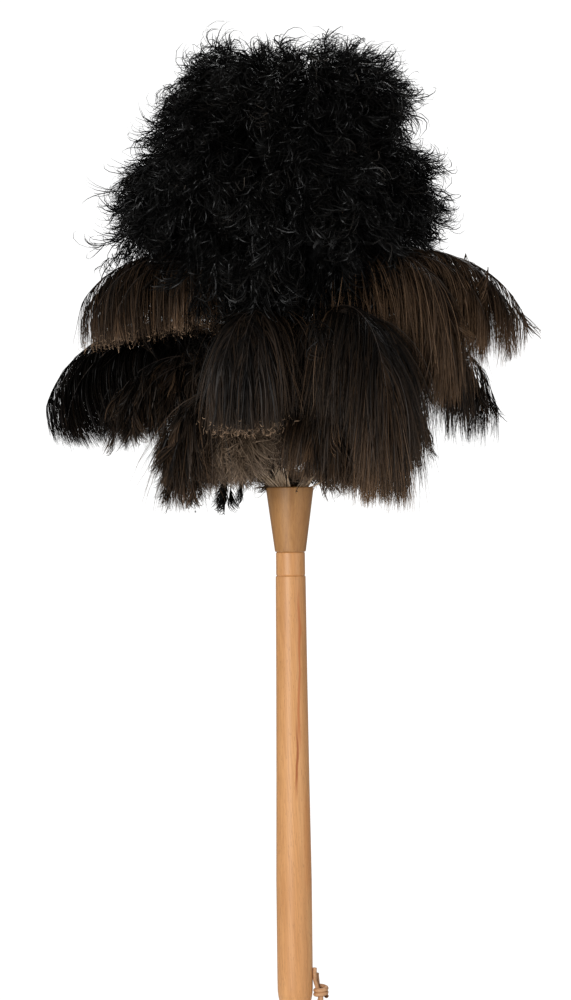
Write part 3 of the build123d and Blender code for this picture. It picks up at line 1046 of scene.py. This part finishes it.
# A lobe: turn in degrees, size, drop in mm, tone.
LEFT_LOBES = ((14, 0.62, -8, 0.68),)
RIGHT_LOBES = ((-12, 0.60, 46, 0.80), (8, 0.82, 4, 0.80))
FRONT_LOBES = ((12, 0.70, -24, 0.45),)
LOWER_LEFT = {"reach": 0.96, "frizz": 1.2, "inward": 0.24, "splay": 0.42}
HANGS = {
    "left_upper_plume": Hang(0.50, 46, 4, 2, 8, 2600, fringe=0.18, lobes=LEFT_LOBES),
    "right_upper_plume": Hang(0.88, 42, 0, 6, 8, 2800, locks=2, lobes=RIGHT_LOBES),
    "front_left_plume": Hang(0.32, 24, 3, 2, 7, 2300, fringe=0.22, splay=0.85),
    "front_right_plume": Hang(0.22, 19, 0, 5, 9, 3000, splay=0.68, warm=0.50, lobes=FRONT_LOBES),
    "left_lower_plume": Hang(0.12, 26, 14, 4, 7, 4600, **LOWER_LEFT),
    "right_lower_plume": Hang(0.30, 34, -8, 4, 6, 1500, locks=3),
    "left_under_plume": Hang(0.40, 28, -10, 6, 6, 1300, frizz=3, curl=0.14, locks=8),
    "front_left_under_plume": Hang(0.45, 20, 4, 6, 6, 1600, frizz=3, curl=0.12, locks=7),
    "front_under_plume": Hang(0.50, 28, 4, 5, 6, 1500, frizz=2.5, locks=5),
    "right_under_plume": Hang(0.38, 28, 2, 4, 6, 1100, locks=5),
}
OTHER_HANG = {"upper": (0.42, 46, 7), "lower": (0.28, 42, 9), "under": (0.30, 36, 11)}


def hang_of(node):
    """A skirt plume's own way of hanging, or its tier's."""
    if node in HANGS:
        return HANGS[node]
    tone, spread, ragged = next(row for tier, row in OTHER_HANG.items() if tier in node)
    return Hang(tone + RNG.uniform(-0.12, 0.15), spread, -4, ragged * 0.6, 6, 1300, locks=3)


CENTRE_TUFTS = 44


def make_crown_tuft(black, dark):
    """The upright tuft in the middle of the crown."""
    low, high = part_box("crown_centre_tuft")
    scatter = np.array((0.026, 0.026, 0.008)) * RNG.normal(size=(CENTRE_TUFTS, 3))
    centres = UP * (high.z - 0.046) + scatter
    headings = unit(UP * 0.5 + RNG.normal(size=(CENTRE_TUFTS, 3)) * 0.7)
    parts = [tuft_arrays(centres, headings, 0.018, 34, 0.026, 0.34, 0.4)]
    path = np.linspace((0, 0, low.z), (0, 0, high.z - 0.02), 8)
    parts.append((*shaft(path, 0.002), 1))
    feather_piece("crown_centre_tuft", parts, [black, dark], "crown_tuft")


def hanging_tuft(angle, radius):
    """A small black tuft that hangs beside the cone."""
    place = np.array((radius * math.cos(angle), radius * math.sin(angle), CONE_TOP + 0.010))
    centres = place + 0.006 * RNG.normal(size=(7, 3))
    headings = unit(DOWN + 0.25 * RNG.normal(size=(7, 3)))
    return (*tuft_arrays(centres, headings, 0.012, 46, 0.022, 0.25, 0.3, splay=0.5)[:3], 2)


def twig_arrays(angle, base_z):
    """Bare ends of pale quills that stand up out of the cone."""
    parts = []
    for _ in range(9):
        turn = angle + RNG.uniform(-0.15, 0.60)
        foot = np.array((0.015 * math.cos(turn), 0.015 * math.sin(turn), base_z))
        reach = RNG.uniform(0.012, 0.028)
        lean = np.array((reach * math.cos(turn), reach * math.sin(turn), RNG.uniform(0.016, 0.030)))
        head = foot + lean + LEVEL * 0.006 * RNG.normal(size=3)
        knee = (foot + head) / 2 + 0.0025 * RNG.normal(size=3)
        share = np.linspace(0, 1, 7)[:, None]
        path = foot * (1 - share) ** 2 + 2 * knee * share * (1 - share) + head * share**2
        parts.append((*tube_arrays(path, np.linspace(0.0008, 0.0003, 7), 6), 1))
    return parts


RING_TUFTS = 13
QUILL_RING = 0.0125
# A down plume: spread in mm, radius of its ring of dark tufts.
FRONT_DOWN, OTHER_DOWN = (23, 0.004), (34, 0.022)
TUFT_PLACE = (math.radians(207), 0.056)


def dark_ring(angle, ring):
    """Dark tufts behind the down, which close the gap over the cone."""
    turns = angle + RNG.uniform(-0.6, 0.6, RING_TUFTS)
    height = CONE_TOP + RNG.uniform(0.006, 0.050, RING_TUFTS)
    feet = np.stack([ring * np.cos(turns), ring * np.sin(turns), height], -1)
    headings = unit(RNG.normal(size=(RING_TUFTS, 3)) + 0.5 * UP)
    return tuft_arrays(feet, headings, 0.018, 40, 0.026, 0.3, 0.1)


def make_down(node, down, horn, black):
    """A base plume: soft pale down on short quills that stand out of the cone."""
    angle, start, crest, tip = arch_of(node, VANE_START)
    front = node == "front_left_down"
    spread, ring = FRONT_DOWN if front else OTHER_DOWN
    hang = Hang(0.5, spread, 0, 5, 7, 2600, frizz=4, curl=0.26, splay=0.70, fall=0.35)
    parts = [*twig_arrays(angle, CONE_TOP - 0.002), dark_ring(angle, ring)]
    if front:
        parts.append(hanging_tuft(*TUFT_PLACE))
    for place in spread_over(hang.shafts):
        size = RNG.uniform(0.78, 1.0)
        own_crest = (crest[0] * size, crest[1] + 0.004 * RNG.normal())
        profile = arc_through(start, own_crest, (tip[0] * size, tip[1]), 30)[:27]
        path = place_arch(profile, angle, place * hang.spread + RNG.normal() * 0.004)
        turn = angle + 0.8 * place
        foot = (QUILL_RING * math.cos(turn), QUILL_RING * math.sin(turn), CONE_TOP - 0.004)
        quill = np.concatenate([np.linspace(foot, path[0], 6)[:-1], path[:10]])
        parts.append((*tube_arrays(quill, np.linspace(0.0011, 0.0004, 15), 6), 1))
        barbs = hanging_barbs(path, hang, tip[1] + RNG.normal() * 0.004, hang.tone)[1]
        parts.append((*barbs, 0))
    feather_piece(node, parts, [down, horn, black])


def make_feathers():
    """Every plume of the head, in the order of the nodes' names."""
    horn = horn_material("quill_horn", (0.34, 0.23, 0.14), (0.66, 0.50, 0.34))
    dark = horn_material("shaft_dark", (0.012, 0.009, 0.008), (0.040, 0.028, 0.021))
    black = barb_material("barbs_black", BLACK, BLACK_TONES_AND_GLINTS, 0.30, 0.13)
    brown = barb_material("barbs_brown", BROWN, BROWN_TONES, 0.42, 0.10)
    down = barb_material("barbs_down", DOWN_TINT, DOWN_TONES, 0.6, 0.25)
    mass = Mass()
    for node in sorted(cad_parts):
        if node == "crown_centre_tuft":
            make_crown_tuft(black, dark)
        elif ring_of(node):
            make_black_plume(mass, node, black, dark)
        elif node.endswith("_down"):
            make_down(node, down, horn, black)
        elif node.endswith("_plume"):
            make_skirt_plume(node, brown, dark, hang_of(node))


# ---------- wood


def set_node_material(node, material):
    """Gives a kept CAD node a better material."""
    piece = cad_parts[node]
    piece.data.materials.clear()
    piece.data.materials.append(material)


# Strength, tint, then the streak's X where Z is 0, lean, half width, lower and upper end.
STREAKS = (
    (0.80, (0.47, 0.135, 0.026), (0.0044, 0.009, 0.0015, 0.150, 0.305)),
    (1.0, (0.34, 0.100, 0.022), (0.0030, 0.005, 0.0013, 0.106, 0.185)),
    (0.45, (0.56, 0.215, 0.060), (0.0130, 0.0, 0.0045, 0.010, 0.125)),
)
# Light grain, dark grain, flecks.
HANDLE_WOOD = ((0.665, 0.338, 0.132), (0.570, 0.268, 0.095), (0.32, 0.14, 0.05))
# The cone's beech is the handle's beech darkened: painted shade from the head, used on the cone and the
# dowel.
SHADED_CONE_WOOD = ((0.450, 0.225, 0.076), (0.360, 0.165, 0.050), (0.24, 0.10, 0.035))


def make_wood():
    """Beech for the two turnings and the dowel, the cone's and dowel's beech darkened as painted shade
    from the head, twine for the bindings, amber glue in the cup.
    """
    handle = wood_material("beech_handle", *HANDLE_WOOD, 0.06, STREAKS)
    cone = wood_material("beech_cone_shaded", *SHADED_CONE_WOOD, 0.0)
    set_node_material("handle", handle)
    set_node_material("core_dowel", cone)
    set_node_material("socket_cone", cone)
    twine = twine_material()
    for node in sorted(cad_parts):
        if node.endswith("_binding"):
            set_node_material(node, twine)
    glue = horn_material("glue_amber", (0.06, 0.030, 0.012), (0.16, 0.085, 0.035))
    set_node_material("potting_glue", glue)


make_camera()
make_thong()
make_floor()
make_light()
make_wood()
make_feathers()
